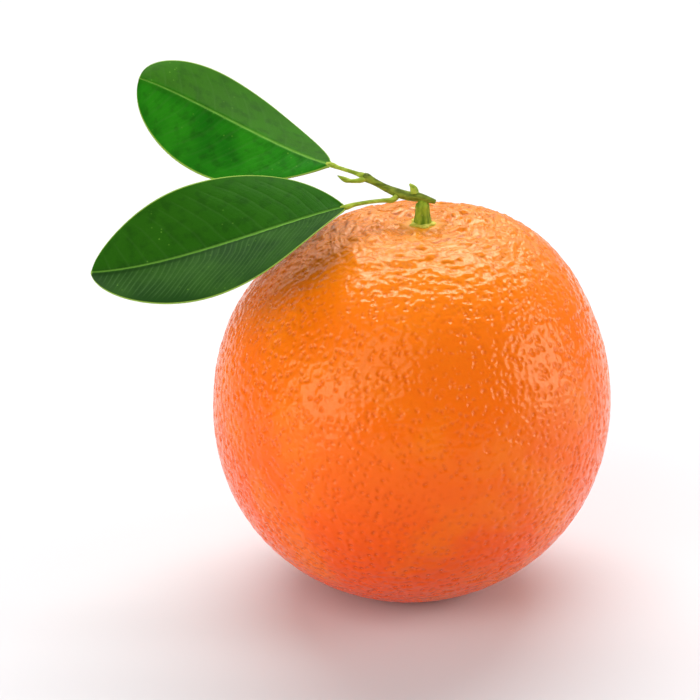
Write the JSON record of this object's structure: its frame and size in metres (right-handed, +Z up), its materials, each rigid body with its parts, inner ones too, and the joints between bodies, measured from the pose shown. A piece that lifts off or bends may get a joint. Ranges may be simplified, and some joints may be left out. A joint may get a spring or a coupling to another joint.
{
  "type": "orange",
  "caption": "Whole orange as picked, with its calyx, cut stalk and a leafy twig that carries a pair of leaves. It rests on a small flat spot.",
  "frame": {"origin": "middle of the small flat spot under the fruit, on the surface it rests on", "axes": "+Z up through the fruit towards the stalk, leaves reaching out towards -X, +Y to the back"},
  "size_m": [0.1022, 0.0793, 0.1023],
  "materials": {
    "peel": "waxy orange peel with fine oil pores",
    "calyx": "dry yellow-green button",
    "stalk": "matte green bark",
    "twig": "matte dark green bark",
    "petiole": "smooth young green shoot",
    "leaf": "glossy dark green leaf, paler underneath"
  },
  "bodies": {
    "root": {"fruit": "peel", "calyx": "calyx", "stalk": "stalk", "twig": "twig", "petiole_upper": "petiole", "petiole_lower": "petiole", "side_spur": "petiole", "axillary_bud": "petiole", "leaf_upper": "leaf", "leaf_lower": "leaf"}
  },
  "joints": []
}
